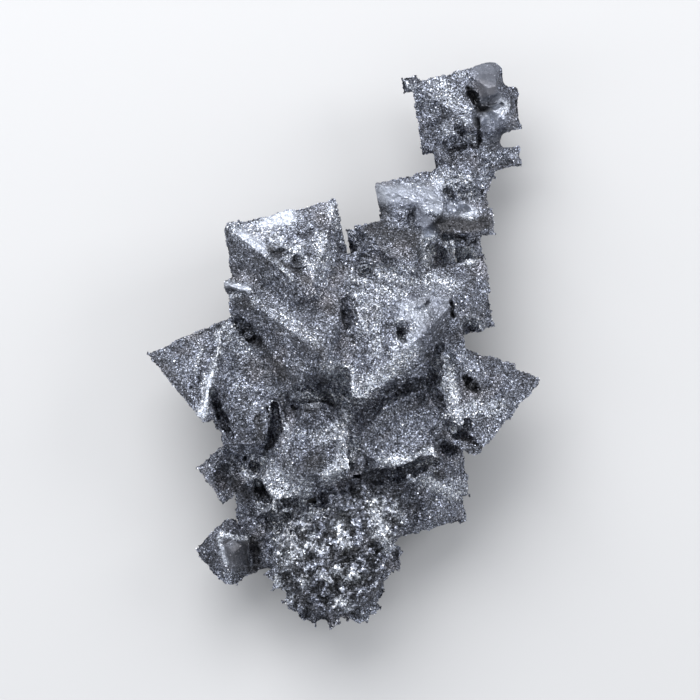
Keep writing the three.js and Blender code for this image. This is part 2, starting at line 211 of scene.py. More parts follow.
# Painted shade: the colour is darkened to almost black in valleys, pits, and on faces turned
# from the light.
PAINTED_SHADE = [
    # The head.
    {"path": [(21.4, 40.6), (22, 36.6)], "radius": 3.0, "share": 0.5},
    {"path": [(13.6, 37.4), (15.2, 36.4)], "radius": 2.2, "share": 0.4},
    {"path": [(18.5, 38), (19.6, 36.4), (20.2, 34.7), (22.4, 34.9), (23.6, 35.7)],
     "radius": 0.5, "share": 0.95},
    {"path": [(20.4, 34.7), (24.1, 35.2)], "radius": 1.4, "share": 0.85},
    {"path": [(9.9, 34.8), (14.6, 31.8)], "radius": 2.2, "share": 0.25},
    {"path": [(24.4, 30.4), (25.6, 32)], "radius": 1.2, "share": 0.7},
    {"path": [(22.2, 29.4), (24.6, 31)], "radius": 1.5, "share": 0.7},
    # The arm's foot, roof and neck.
    {"path": [(14.6, 27.7), (18.4, 28)], "radius": 1.4, "share": 0.45},
    {"path": [(24, 26.8), (25.6, 27)], "radius": 1.0, "share": 0.6},
    {"path": [(4.6, 24), (12.4, 23.6)], "radius": 1.4, "share": 0.3},
    {"path": [(5.2, 22.6), (6.2, 14.5)], "radius": 2.0, "share": 0.75},
    {"path": [(14.6, 17.6), (21.2, 18)], "radius": 2.2, "share": 0.95},
    {"path": [(5.2, 15.8), (6, 18.4)], "radius": 1.4, "share": 0.6},
    {"path": [(4.6, 17.4), (10.6, 15.8)], "radius": 2.0, "share": 0.85},
    {"path": [(9, 16.6)], "radius": 1.8, "share": 0.55},
    {"path": [(14.6, 15.9), (18, 16.1)], "radius": 0.8, "share": 0.9},
    # The upper left crystal and the groove at its right.
    {"path": [(-17.2, 16.4), (-16.6, 9.4)], "radius": 1.8, "share": 0.6},
    {"path": [(-10.4, 14.4), (-8.8, 12.6), (-6.6, 11.4), (-5, 9.8)],
     "radius": 0.9, "share": 0.8},
    {"path": [(-12.6, 12.6), (-11, 11.4)], "radius": 1.8, "share": 0.6},
    {"path": [(-16.4, 14), (-11.6, 9.8)], "radius": 2.6, "share": 0.6},
    {"path": [(0.6, 11.2), (2.2, 10)], "radius": 1.4, "share": 0.6},
    {"path": [(-16.8, 11), (-14.4, 6.4)], "radius": 2.2, "share": 0.75},
    {"path": [(-11.6, 8.3), (-6, 6.1)], "radius": 2.4, "share": 0.35},
    {"path": [(-14.8, 7.4), (-13.4, 6)], "radius": 1.8, "share": 0.8},
    {"path": [(-1.4, 5.6)], "radius": 1.7, "share": 0.75},
    {"path": [(-7.2, 9.4), (-5.2, 5), (-4.4, 1.6)], "radius": 2.0, "share": 0.45},
    # The bright middle.
    {"path": [(7.4, 14.2), (9.4, 13.8)], "radius": 1.6, "share": 0.6},
    {"path": [(3.5, 15.4), (14.6, 12.4)], "radius": 3.0, "share": 0.2},
    {"path": [(6.5, 5.5)], "radius": 1.0, "share": 0.35},
    {"path": [(11.6, 7.4), (12.8, 3.4)], "radius": 1.4, "share": 0.5},
    {"path": [(12, 4), (15, 5.8), (14.2, 2.6)], "radius": 1.8, "share": 0.45},
    # The flank at the right, above the right wing.
    {"path": [(18.8, 11.8), (19.2, 9.6)], "radius": 1.4, "share": 0.55},
    {"path": [(14.6, 9), (18, 8.6)], "radius": 1.6, "share": 0.5},
    {"path": [(15.2, 8), (15.4, 5.4)], "radius": 1.3, "share": 0.5},
    {"path": [(16.8, 1.8), (20.4, 1.6)], "radius": 1.3, "share": 0.5},
    # The stepped faces below the upper left crystal.
    {"path": [(-5.2, 6.4), (-1.8, 4.2), (-3.2, 0.8)], "radius": 2.0, "share": 0.45},
    {"path": [(0.1, 10.5), (-0.4, 2.4), (-2.4, -2)], "radius": 1.4, "share": 0.45},
    {"path": [(-13, 9), (-5, -3)], "radius": 4.5, "share": 0.4},
    {"path": [(-9, 2.6), (-7, 1)], "radius": 1.6, "share": 0.5},
    {"path": [(-6, 0.2), (-2.8, -0.8)], "radius": 2.0, "share": 0.6},
    {"path": [(-14, 1.8), (-11, -0.8), (-9, -4)], "radius": 1.0, "share": 0.8},
    {"path": [(-3.6, 1), (-2.4, -1.6), (-2.2, -5)], "radius": 1.5, "share": 0.8},
    {"path": [(-10.4, -0.5), (-8.4, -6.1)], "radius": 2.8, "share": 0.45},
    {"path": [(-13.6, -2.6), (-8.2, -4.6)], "radius": 2.6, "share": 0.65},
    {"path": [(-9, -4)], "radius": 2.8, "share": 0.85},
    {"path": [(-11.4, -2.2), (-7, -6)], "radius": 2.4, "share": 0.6},
    {"path": [(2.2, -5)], "radius": 1.3, "share": 0.6},
    # The left wing.
    {"path": [(-23.6, -1), (-22, 1.2)], "radius": 1.8, "share": 0.4},
    {"path": [(-26.6, -0.8), (-22.5, -0.8)], "radius": 1.8, "share": 0.35},
    {"path": [(-28, -1), (-23.4, -7)], "radius": 2.0, "share": 0.6},
    # The right wing.
    {"path": [(22.8, -2), (27.8, -4.8), (24.4, -7.6)], "radius": 1.4, "share": 0.45},
    {"path": [(17.4, -4), (18.8, -8.4)], "radius": 1.8, "share": 0.4},
    {"path": [(17.2, -5.6), (16.8, -8)], "radius": 1.0, "share": 0.4},
    {"path": [(17.8, -14), (19.4, -14.8)], "radius": 1.2, "share": 0.7},
    {"path": [(17.8, -14.8)], "radius": 0.9, "share": 0.5},
    # The crescent.
    {"path": [(-4.6, -8.7)], "radius": 1.7, "share": 0.7},
    {"path": [(-8.2, -15.4), (-8.2, -17)], "radius": 1.6, "share": 0.8},
    {"path": [(-2.8, -16.6)], "radius": 1.4, "share": 0.8},
    {"path": [(-3.8, -16.8)], "radius": 2.4, "share": 0.8},
    {"path": [(-8.7, -15.2), (-7.2, -18.5)], "radius": 1.5, "share": 0.6},
    {"path": [(-8.2, -18.2)], "radius": 1.2, "share": 0.6},
    # The lower middle face.
    {"path": [(4, -9.3), (8.7, -8.2), (7.5, -13.5)], "radius": 2.2, "share": 0.3},
    {"path": [(3.6, -13.6), (5.4, -10.6), (9.6, -8.8)], "radius": 1.4, "share": 0.5},
    {"path": [(12.2, -14.6)], "radius": 1.3, "share": 0.8},
    {"path": [(13, -17.4), (14.2, -18.6)], "radius": 1.6, "share": 0.75},
    # The lower right.
    {"path": [(10.1, -27.7), (16, -25.8)], "radius": 2.2, "share": 0.45},
    # The small crystals at the lower left.
    {"path": [(-14.3, -7.4), (-13.8, -9.6)], "radius": 1.4, "share": 0.6},
    {"path": [(-12.2, -10.4), (-11.6, -13.5)], "radius": 1.2, "share": 0.8},
    {"path": [(-17.5, -17), (-14.8, -17.6)], "radius": 2.0, "share": 0.45},
    {"path": [(-20.7, -16), (-19, -18.9)], "radius": 2.2, "share": 0.4},
    {"path": [(-16.6, -19.6), (-14.4, -22.4)], "radius": 1.8, "share": 0.7},
    {"path": [(-15.8, -29.6)], "radius": 4.4, "share": 0.75},
    {"path": [(-14, -31.1)], "radius": 3.2, "share": 0.6},
    {"path": [(-13.4, -28.6), (-12.6, -34)], "radius": 2.0, "share": 0.9},
    {"path": [(-14, -29.6), (-14.7, -34.3)], "radius": 2.0, "share": 0.6},
    # The root.
    {"path": [(3.1, -19.3), (8.4, -21.1)], "radius": 1.8, "share": 0.6},
    {"path": [(4.8, -21.8), (7, -22)], "radius": 1.1, "share": 0.6},
    {"path": [(1.6, -21.1), (-0.9, -23.6)], "radius": 1.7, "share": 0.5},
    {"path": [(-1, -22.6), (1, -22.6)], "radius": 1.2, "share": 0.6},
    {"path": [(3.4, -25.8), (4.6, -27)], "radius": 1.2, "share": 0.7},
    {"path": [(-3, -26.8), (-1.6, -27.2)], "radius": 1.2, "share": 0.6},
    {"path": [(-6.6, -32.6)], "radius": 1.5, "share": 0.4},
    {"path": [(-1.6, -36), (3.5, -35.7)], "radius": 2.2, "share": 0.5},
]
# Ledges, lips and rims that stand up. The share of a stroke is its height in mm.
RAISED = [
    # The head.
    {"path": [(10.4, 38.9), (15.3, 34.5), (19.9, 30.1)], "radius": 0.5, "share": 0.3},
    # The upper left crystal and the groove at its right.
    {"path": [(-7.8, 13), (-5.1, 15.2)], "radius": 0.6, "share": 0.4},
    {"path": [(-16, 17.4), (-11, 13.9), (-7.5, 10.4)], "radius": 0.9, "share": 0.35},
    {"path": [(-8.7, 11.5), (-6.9, 9.6)], "radius": 0.5, "share": 0.45},
    {"path": [(-16.9, 9.2), (-13.1, 8.6)], "radius": 0.8, "share": 0.5},
    {"path": [(-16.9, 6.8), (-14.9, 7.4)], "radius": 0.6, "share": 0.4},
    {"path": [(1.6, 8.3), (3.1, 2.4)], "radius": 0.5, "share": 0.35},
    # The bright middle.
    {"path": [(3.5, 5.2), (4.4, 6.3), (5.6, 5.2), (4.9, 4.2)], "radius": 0.4, "share": 0.35},
    {"path": [(8.2, 3.9), (8.7, 3.6)], "radius": 0.9, "share": 0.9},
    # The stepped faces below the upper left crystal.
    {"path": [(-12.2, 6.4), (-8.5, 4.9), (-6, 2.6), (-3.7, 1.1)], "radius": 0.9, "share": 0.35},
    {"path": [(-7.2, -7.2), (-3, -7.5), (0.8, -7.6)], "radius": 1.2, "share": 0.8},
    # The left wing.
    {"path": [(-18, 1.7), (-17.5, 0), (-18.4, -2.2), (-18.8, -4.4)],
     "radius": 0.5, "share": 0.35},
    {"path": [(-20.6, -0.2), (-21.2, -2.6), (-21, -4)], "radius": 0.4, "share": 0.3},
    {"path": [(-19.2, -4.6), (-19.4, -7), (-20.3, -10)], "radius": 0.8, "share": 0.45},
    # The right wing.
    {"path": [(14.7, -2.7), (15.7, -7.1), (16.8, -11.8)], "radius": 0.9, "share": 0.4},
    # The crescent.
    {"path": [(0.6, -9), (1.3, -12.3), (1.2, -16), (-0.7, -18.9)], "radius": 0.8, "share": 0.5},
    {"path": [(-8.1, -10.8), (-8.5, -15.2), (-7.2, -18.2)], "radius": 0.8, "share": 0.3},
    # The lower middle face.
    {"path": [(6.5, -17.4), (11.6, -17), (14.6, -14.5)], "radius": 0.8, "share": 0.3},
    # The lower right.
    {"path": [(10.1, -19.3), (13.8, -20.7), (17.5, -22.6)], "radius": 0.7, "share": 0.45},
    # The root.
    {"path": [(-11.5, -17.4), (-10.1, -21.1), (-4.6, -22.6)], "radius": 0.7, "share": 0.45},
    {"path": [(-5.3, -24.3), (-2.4, -23.3)], "radius": 0.5, "share": 0.4},
    {"path": [(4.6, -22.6), (7.9, -29.9)], "radius": 0.6, "share": 0.45},
]
# Pits and cracks that open upwards. The share of a stroke is its depth in mm.
SUNK = [
    # The head.
    {"path": [(18.5, 38), (19.6, 36.4), (20.2, 34.7), (22.4, 34.9), (23.6, 35.7)],
     "radius": 0.3, "share": 0.8},
    {"path": [(20.1, 33.4), (20.5, 30.2)], "radius": 0.45, "share": 1.2},
    {"path": [(16, 28.9), (20.2, 29.9)], "radius": 0.4, "share": 0.9},
    # The arm's foot, roof and neck.
    {"path": [(17.8, 22.1), (21.2, 23)], "radius": 0.4, "share": 0.8},
    {"path": [(15.6, 23), (16.8, 21.1)], "radius": 0.4, "share": 1.0},
    {"path": [(10.4, 19.8), (10.1, 17.6)], "radius": 0.3, "share": 0.5},
    # The upper left crystal and the groove at its right.
    {"path": [(-6.2, 16.6), (-5, 16.3), (-4.1, 17.1)], "radius": 0.4, "share": 0.6},
    {"path": [(-9.9, 13.4), (-8.7, 14), (-8, 12.9), (-6.6, 12.9)], "radius": 0.6, "share": 0.8},
    {"path": [(-7.1, 12.4), (-6.2, 11.4), (-5.2, 11.8)], "radius": 0.5, "share": 0.7},
    {"path": [(-16.6, 8), (-14, 7.7)], "radius": 0.5, "share": 0.5},
    # The bright middle.
    {"path": [(6.3, 9.3), (7.9, 6.8)], "radius": 0.5, "share": 0.4},
    {"path": [(10.5, 5.5), (11.6, 5.6), (12.6, 6.6)], "radius": 0.25, "share": 0.5},
    {"path": [(4.4, 5.2)], "radius": 0.6, "share": 0.5},
    {"path": [(8.5, 2.5), (8.8, 1.3)], "radius": 0.3, "share": 1.4},
    {"path": [(8.3, 1.4), (9.1, 0.9)], "radius": 0.35, "share": 1.6},
    # The flank at the right, above the right wing.
    {"path": [(15.9, 6.4), (16.3, 4.2)], "radius": 0.45, "share": 1.3},
    # The stepped faces below the upper left crystal.
    {"path": [(0.1, 5.7), (0.7, 4.6), (0.5, 3.8), (1.1, 3)], "radius": 0.3, "share": 0.8},
    {"path": [(-3.4, -1.1), (-3.1, -7.3)], "radius": 0.5, "share": 0.5},
    # The left wing.
    {"path": [(-20.6, -2.3), (-20.9, -7.1)], "radius": 0.35, "share": 0.5},
    # The right wing.
    {"path": [(18.1, -4.9), (20.2, -6.4)], "radius": 0.7, "share": 0.9},
    # The crescent.
    {"path": [(-3.4, -13.8)], "radius": 2.4, "share": 0.35},
    # The small crystals at the lower left.
    {"path": [(-10.5, -9), (-10.1, -13.8), (-11.4, -16.1)], "radius": 0.4, "share": 0.7},
    {"path": [(-12.3, -21.4), (-11.9, -22.4)], "radius": 1.7, "share": 1.0},
]
# Valleys that are shallower than in the solid, filled up to a level in mm. What lies farther
# below that level than the depth, such as the stone's back, stays as it is.
FILLED = [
    {"path": [(8.2, 4), (8.4, 3.2)], "radius": 1.0, "level": 23.3},
    {"path": [(-7.2, -7.6), (-4.8, -6.9)], "radius": 1.8, "level": 15.5},
]
FILLED_DEPTH = 8

# How strongly light is painted on the ledges for their height, and the most shade painted into a
# pit.
LEDGE_HIGHLIGHT = 1.0
PIT_SHADE = 0.85
# How much relief is lost on smooth and dark faces, and gained on coarse ones.
SMOOTH_LOSS = 0.8
DARK_LOSS = 0.5
COARSE_GAIN = 0.9
# The shares of the deepest relief between which shade is painted into its hollows, and how much
# of it they get off the coarse parts.
HOLLOW_SHADE_DEPTHS = (0.4, 1.0)
FINE_HOLLOW_SHADE = 0.5
# How strokes take hold as a face turns up: smooth ones reach over the edges, bright and dark
# ones are whole on faces that look halfway up, and ledges and cracks keep off steep sides.
SMOOTH_OVERHANG = 0.3
TONE_RISE = 2
STEEPEST = 0.2


def lattice_turn():
    """The turn from the specimen's axes to those of the shared lattice."""
    lean_x, lean_y = LATTICE_LEAN
    front = Vector((lean_x, lean_y, math.sqrt(1 - lean_x**2 - lean_y**2)))
    arc = Vector((0, 0, 1)).rotation_difference(front)
    return (arc @ Quaternion((0, 0, 1), LATTICE_SPIN)).inverted()


def distance_to(path, plan):
    """How far points in plan are from a path, or from its only point."""
    nearest = np.full(len(plan), np.inf)
    for start, end in zip(path, path[1:] or path):
        run = np.subtract(end, start)
        from_start = plan - np.array(start)
        along = np.clip(from_start @ run / max(run @ run, 1e-9), 0, 1)
        nearest = np.minimum(nearest, np.linalg.norm(from_start - np.outer(along, run), axis=1))
    return nearest


def stroke_share(strokes, plan):
    """How strongly the strokes cover points in plan."""
    best = np.zeros(len(plan))
    for stroke in strokes:
        inward = 1 - distance_to(stroke["path"], plan) / stroke["radius"]
        best = np.maximum(best, stroke["share"] * np.clip(STROKE_FADE * inward, 0, 1))
    return best


def relief_at(place):
    """The height of the growth relief at a place in the lattice's axes."""
    height = 0.0
    for layer in RELIEF:
        distances, corners = noise.voronoi(place / layer["cell"], distance_metric="MANHATTAN")
        height += layer["step"] * (noise.cell(corners[0] * STEP_SPREAD) - 0.5)
        height += layer["corner"] * (CORNER_LEVEL - distances[0])
    return height


def evaluated_mesh(piece):
    """A plain mesh of the piece with its modifiers applied."""
    depsgraph = bpy.context.evaluated_depsgraph_get()
    return bpy.data.meshes.new_from_object(piece.evaluated_get(depsgraph))


def remeshed_copy(node_name, name, voxel):
    """The node's solid as one fine even mesh, in a new object."""
    joined = bmesh.new()
    joined.from_mesh(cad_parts[node_name].data)
    bmesh.ops.remove_doubles(joined, verts=joined.verts, dist=MERGE_DISTANCE)
    coarse = bpy.data.meshes.new(name + "_coarse")
    joined.to_mesh(coarse)
    joined.free()
    piece = bpy.data.objects.new(name, coarse)
    bpy.context.scene.collection.objects.link(piece)
    remesh = piece.modifiers.new("fine", "REMESH")
    remesh.mode = "VOXEL"
    remesh.voxel_size = voxel
    piece.data = evaluated_mesh(piece)
    piece.modifiers.remove(remesh)
    return piece


def vectors_in(layer, name):
    """The vectors that a layer of a mesh holds under a name, one for each of its points."""
    flat = np.empty(len(layer) * 3)
    layer.foreach_get(name, flat)
    return flat.reshape(-1, 3)


def fill_valleys(places, plan):
    """Lifts the floors of the filled valleys to their levels."""
    for valley in FILLED:
        below = valley["level"] - places[:, 2] / MM
        inside = distance_to(valley["path"], plan) < valley["radius"]
        places[inside & (below > 0) & (below < FILLED_DEPTH), 2] = valley["level"] * MM


def growth_relief(places, smooth, dark, coarse):
    """The height of the relief at each place, lower on smooth and dark faces."""
    turn = lattice_turn()
    height = np.array([relief_at(turn @ Vector(place)) for place in places])
    height *= 1 - SMOOTH_LOSS * smooth - DARK_LOSS * dark + COARSE_GAIN * coarse
    return np.clip(height, -RELIEF_LIMIT, RELIEF_LIMIT)


def carve_growth(stone):
    """Gives the fine mesh its relief, ledges and cracks, and notes where it is smooth and
    coarse, and where it gets painted highlights (bright) and painted shade (dark)."""
    mesh = stone.data
    places = vectors_in(mesh.vertices, "co")
    normals = vectors_in(mesh.vertex_normals, "vector")
    plan = places[:, :2] / MM
    up = np.clip(normals[:, 2], 0, 1)
    fill_valleys(places, plan)
    smooth = stroke_share(SMOOTH, plan) * np.clip(SMOOTH_OVERHANG + up, 0, 1)
    coarse = stroke_share(COARSE, plan)
    bright = stroke_share(PAINTED_HIGHLIGHTS, plan) * np.clip(TONE_RISE * up, 0, 1)
    dark = stroke_share(PAINTED_SHADE, plan) * np.clip(TONE_RISE * up, 0, 1)
    raised, sunk = stroke_share(RAISED, plan), stroke_share(SUNK, plan)
    # Painted highlights on the tops of ledges, and painted shade in pits.
    bright = np.maximum(bright, LEDGE_HIGHLIGHT * raised * up)
    dark = np.maximum(dark, np.clip(sunk, 0, PIT_SHADE))

    height = growth_relief(places, smooth, dark, coarse)
    # Painted shade in the relief's deep hollows, stronger on coarse parts.
    hollow = np.interp(-height / RELIEF_LIMIT, HOLLOW_SHADE_DEPTHS, (0, PIT_SHADE))
    hollow *= FINE_HOLLOW_SHADE + (1 - FINE_HOLLOW_SHADE) * coarse
    dark = np.maximum(dark, hollow)

    moved = places + normals * (height - GRAIN_BED)[:, None]
    moved[:, 2] += (raised - sunk) * MM * (up > STEEPEST)
    rests = places[:, 2] < cad_low.z + RESTING_HEIGHT
    moved[rests] = places[rests]
    moved[:, 2] = np.maximum(moved[:, 2], cad_low.z)
    mesh.vertices.foreach_set("co", moved.ravel())
    kept = {"smooth": smooth, "coarse": coarse, "bright": bright, "dark": dark}
    for name, values in kept.items():
        layer = mesh.attributes.new(name, "FLOAT", "POINT")
        layer.data.foreach_set("value", values.astype(np.float32))
    mesh.update()


def thinned(stone, triangles):
    """Merges the stone's flattest triangles until about this many are left."""
    thin = stone.modifiers.new("thin", "DECIMATE")
    thin.ratio = triangles / sum(len(face.vertices) - 2 for face in stone.data.polygons)
    thin.use_collapse_triangulate = True
    stone.data = evaluated_mesh(stone)
    stone.modifiers.remove(thin)


# Its finish: dark blue-grey with a submetallic shine, brownish in patches, every grain a little
# lighter, darker, rougher or more turned than the next, so that it glitters. Painted shade and
# painted highlights darken and lighten it in places.
METALLIC = 0.9
IOR = 2.6
LIGHT_PATCHES = {"size": 7 * MM, "detail": 3, "from": 0.35, "to": 0.66}
BROWN_PATCHES = {"size": 6 * MM, "detail": 2, "from": 0.55, "to": 0.75}
BROWN_SHARES = (1.0, 0.92, 0.85)
# The colour of the painted shade.
PAINTED_SHADE_COLOUR = (0.018, 0.018, 0.021)
EVEN_TONE = (1.0, 1.0, 1.0)
GRAIN_TONES = [(0.0, 0.14), (0.35, 0.42), (0.65, 0.95), (0.85, 1.8), (1.0, 2.9)]
FACET_TONES = [(0.0, 0.45), (0.5, 0.9), (1.0, 1.9)]
CLUMPS = {"size": 1.9 * MM, "detail": 2}
CLUMP_TONES = [(0.38, 0.35), (0.5, 0.9), (0.62, 1.9)]
# The size of the faces that turn, as a share of that of a grain.
TURNED_SHARE = 0.83
WAVES = {"size": 1.1 * MM, "detail": 3, "strength": 0.6, "height": 0.2 * MM}

# The ground between the grains. rough is the range of its roughness, sparkle how far its grains'
# faces turn, cell the size of a grain, and painted_highlight_colour the colour of painted
# highlights.
DULL_HEMATITE = {
    "dark": (0.105, 0.113, 0.142), "light": (0.272, 0.293, 0.355), "painted_highlight_colour": (0.62, 0.66, 0.75),
    "rough": (0.35, 0.7), "sparkle": 0.4, "cell": 0.14 * MM,
}


def feed(tree, socket, value):
    """Links a socket to another one, or sets it to a number or a colour."""
    if isinstance(value, bpy.types.NodeSocket):
        tree.links.new(value, socket)
    elif isinstance(value, tuple):
        socket.default_value = (*value, 1)
    else:
        socket.default_value = value


def object_place(tree):
    """The place of each point in the piece's own axes."""
    return tree.nodes.new("ShaderNodeTexCoord").outputs["Object"]


def noise_at(tree, size, detail):
    """Soft noise with patches of about this size in metres."""
    node = tree.nodes.new("ShaderNodeTexNoise")
    node.inputs["Scale"].default_value = 1 / size
    node.inputs["Detail"].default_value = detail
    tree.links.new(object_place(tree), node.inputs["Vector"])
    return node.outputs["Fac"]


def grains_at(tree, size):
    """A random colour for each grain of about this size in metres."""
    node = tree.nodes.new("ShaderNodeTexVoronoi")
    node.inputs["Scale"].default_value = 1 / size
    tree.links.new(object_place(tree), node.inputs["Vector"])
    return node.outputs["Color"]


def ramp(tree, value, stops):
    """Colours along a value from 0 to 1."""
    node = tree.nodes.new("ShaderNodeValToRGB")
    elements = node.color_ramp.elements
    while len(elements) < len(stops):
        elements.new(0.5)
    for element, (position, colour) in zip(elements, stops):
        element.position = position
        element.color = (*colour, 1)
    tree.links.new(value, node.inputs["Fac"])
    return node.outputs["Color"]


def greys(tree, value, stops):
    """Grey levels along a value from 0 to 1."""
    return ramp(tree, value, [(position, (level,) * 3) for position, level in stops])


def patches(tree, sizes, low_colour, high_colour):
    """Soft patches of one colour in another."""
    value = noise_at(tree, sizes["size"], sizes["detail"])
    return ramp(tree, value, [(sizes["from"], low_colour), (sizes["to"], high_colour)])


def mixed(tree, first, second, share, blend="MIX"):
    """Two colours mixed by a share, which is a number or a socket."""
    node = tree.nodes.new("ShaderNodeMix")
    node.data_type = "RGBA"
    node.blend_type = blend
    feed(tree, node.inputs[0], share)
    feed(tree, node.inputs[6], first)
    feed(tree, node.inputs[7], second)
    return node.outputs[2]


def attribute(tree, attribute_name):
    """A number that the mesh holds for each of its points."""
    node = tree.nodes.new("ShaderNodeAttribute")
    node.attribute_name = attribute_name
    return node.outputs["Fac"]


def grain_colour(tree, look, split, grain_tone):
    """The stone's colour, with painted shade and painted highlights, a tone for each grain, and
    in clumps on coarse parts.
    """
    brown = patches(tree, BROWN_PATCHES, (0, 0, 0), (1, 1, 1))
    warmth = tuple(level * share for level, share in zip(look["light"], BROWN_SHARES))
    warm = mixed(tree, patches(tree, LIGHT_PATCHES, look["dark"], look["light"]), warmth, brown)
    # Painted shade where the mesh notes dark, then painted highlights where it notes bright.
    shaded = mixed(tree, warm, PAINTED_SHADE_COLOUR, attribute(tree, "dark"))
    ground = mixed(tree, shaded, look["painted_highlight_colour"], attribute(tree, "bright"))

    own_tone = attribute(tree, grain_tone) if grain_tone else split.outputs["Red"]
    grain_tones = mixed(tree, greys(tree, own_tone, GRAIN_TONES),
                        greys(tree, split.outputs["Blue"], FACET_TONES), 1.0, "MULTIPLY")
    steady = mixed(tree, grain_tones, EVEN_TONE, attribute(tree, "smooth"))
    clump_tones = greys(tree, noise_at(tree, CLUMPS["size"], CLUMPS["detail"]), CLUMP_TONES)
    clumps = mixed(tree, EVEN_TONE, clump_tones, attribute(tree, "coarse"))
    tone = mixed(tree, steady, clumps, 1.0, "MULTIPLY")
    return mixed(tree, ground, tone, 1.0, "MULTIPLY")


def vector_math(tree, operation, first):
    """A node for one operation on vectors, with its first input linked."""
    node = tree.nodes.new("ShaderNodeVectorMath")
    node.operation = operation
    tree.links.new(first, node.inputs[0])
    return node


def grain_normal(tree, look):
    """The way each grain faces: turned at random where the stone isn't smooth, and waved."""
    sparkle = look["sparkle"]
    turned = vector_math(tree, "MULTIPLY_ADD", grains_at(tree, look["cell"] * TURNED_SHARE))
    turned.inputs[1].default_value = (2 * sparkle,) * 3
    turned.inputs[2].default_value = (-sparkle,) * 3
    steadied = tree.nodes.new("ShaderNodeMix")
    steadied.data_type = "VECTOR"
    tree.links.new(attribute(tree, "smooth"), steadied.inputs[0])
    tree.links.new(turned.outputs["Vector"], steadied.inputs[4])
    tilted = vector_math(tree, "ADD", tree.nodes.new("ShaderNodeNewGeometry").outputs["Normal"])
    tree.links.new(steadied.outputs[1], tilted.inputs[1])
    unit = vector_math(tree, "NORMALIZE", tilted.outputs["Vector"])
    waves = tree.nodes.new("ShaderNodeBump")
    waves.inputs["Strength"].default_value = WAVES["strength"]
    waves.inputs["Distance"].default_value = WAVES["height"]
    tree.links.new(noise_at(tree, WAVES["size"], WAVES["detail"]), waves.inputs["Height"])
    tree.links.new(unit.outputs["Vector"], waves.inputs["Normal"])
    return waves.outputs["Normal"]


def hematite_material(name, look, grain_tone=None):
    """The finish. Where grain_tone names an attribute, it gives each grain its own tone."""
    material = bpy.data.materials.new(name)
    material.use_nodes = True
    tree = material.node_tree
    inputs = tree.nodes["Principled BSDF"].inputs
    inputs["Metallic"].default_value = METALLIC
    inputs["IOR"].default_value = IOR
    split = tree.nodes.new("ShaderNodeSeparateColor")
    tree.links.new(grains_at(tree, look["cell"]), split.inputs["Color"])
    smoothest, roughest = look["rough"]
    roughness = greys(tree, split.outputs["Green"], [(0.0, smoothest), (1.0, roughest)])
    tree.links.new(roughness, inputs["Roughness"])
    tree.links.new(grain_colour(tree, look, split, grain_tone), inputs["Base Color"])
    tree.links.new(grain_normal(tree, look), inputs["Normal"])
    return material


stone = remeshed_copy(STONE_NODE, "stone", STONE_VOXEL)
carve_growth(stone)
thinned(stone, STONE_TRIANGLES)
stone.data.materials.clear()
stone.data.materials.append(hematite_material("dull hematite", DULL_HEMATITE))
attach(stone, "root")
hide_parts(STONE_NODE)


# The crust of grains. All over the stone sit very small hematite crystals, up to half a
# millimetre across, most of them with a face outwards, larger and more tilted on the root.
# They are scattered over the stone's own surface and fused to it. Sizes are in mm from the
# middle of a grain to its corners, and tilts in degrees.
CRUSTS = [
    {"name": "fine_grains_1", "per_mm2": 3.9, "smallest": 0.065, "largest": 0.16, "tilt": 22,
     "seed": 3, "coarse": 0.0},
    {"name": "fine_grains_2", "per_mm2": 3.9, "smallest": 0.065, "largest": 0.16, "tilt": 38,
     "seed": 8, "coarse": 0.0},
    {"name": "mixed_grains", "per_mm2": 3.9, "smallest": 0.075, "largest": 0.24, "tilt": 30,
     "seed": 15, "coarse": 0.0},
    {"name": "root_grains", "per_mm2": 50.0, "smallest": 0.1, "largest": 0.42, "tilt": 60,
     "seed": 23, "coarse": 1.0},
]
# Where they thin out, and by how much: on faces that look down, near the ground, on coarse
# parts, on smooth faces and on dark ones.
TURNED_DOWN = {"low": -0.5, "high": 0.3, "least": 0.12}
NEAR_GROUND = {"low": 0.5 * MM, "high": 0.9 * MM, "least": 0.0}
THINNED_ON_COARSE = 0.4
THINNED_ON_SMOOTH = 0.85
THINNED_ON_DARK = 0.6
# How much commoner the small ones are. At 1 every size is as common.
SMALL_BIAS = 2.0
BRIGHT_HEMATITE = {
    "dark": (0.215, 0.229, 0.28), "light": (0.428, 0.457, 0.54), "painted_highlight_colour": (0.76, 0.80, 0.89),
    "rough": (0.3, 0.6), "sparkle": 0.22, "cell": 0.14 * MM,
}


def grain_object():
    """One grain: an octahedron that stands on a face, so its opposite face looks up. Its corners
    are 1 from its middle."""
    across = math.sqrt(2 / 3)
    half = 1 / math.sqrt(3)
    corners = []
    for level, turn in ((half, 0), (-half, math.pi / 3)):
        for third in range(3):
            angle = turn + third * 2 * math.pi / 3
            corners.append((across * math.cos(angle), across * math.sin(angle), level))
    faces = [(0, 1, 2), (5, 4, 3)]
    for third in range(3):
        following = (third + 1) % 3
        faces.append((third, 3 + third, following))
        faces.append((3 + third, 3 + following, following))
    mesh = bpy.data.meshes.new("grain")
    mesh.from_pydata(corners, [], faces)
    mesh.update()
    grain = bpy.data.objects.new("grain", mesh)
    bpy.context.scene.collection.objects.link(grain)
    return grain


def combined(tree, operation, first, second):
    """The result of one operation on two numbers, each of them a value or a socket."""
    node = tree.nodes.new("ShaderNodeMath")
    node.operation = operation
    feed(tree, node.inputs[0], first)
    feed(tree, node.inputs[1], second)
    return node.outputs["Value"]


def product(tree, *factors):
    """All the factors multiplied together."""
    result = factors[0]
    for factor in factors[1:]:
        result = combined(tree, "MULTIPLY", result, factor)
    return result


def less(tree, value, loss):
    """What is left of 1 once the value, times the loss, is taken away."""
    return combined(tree, "SUBTRACT", 1.0, product(tree, value, loss))


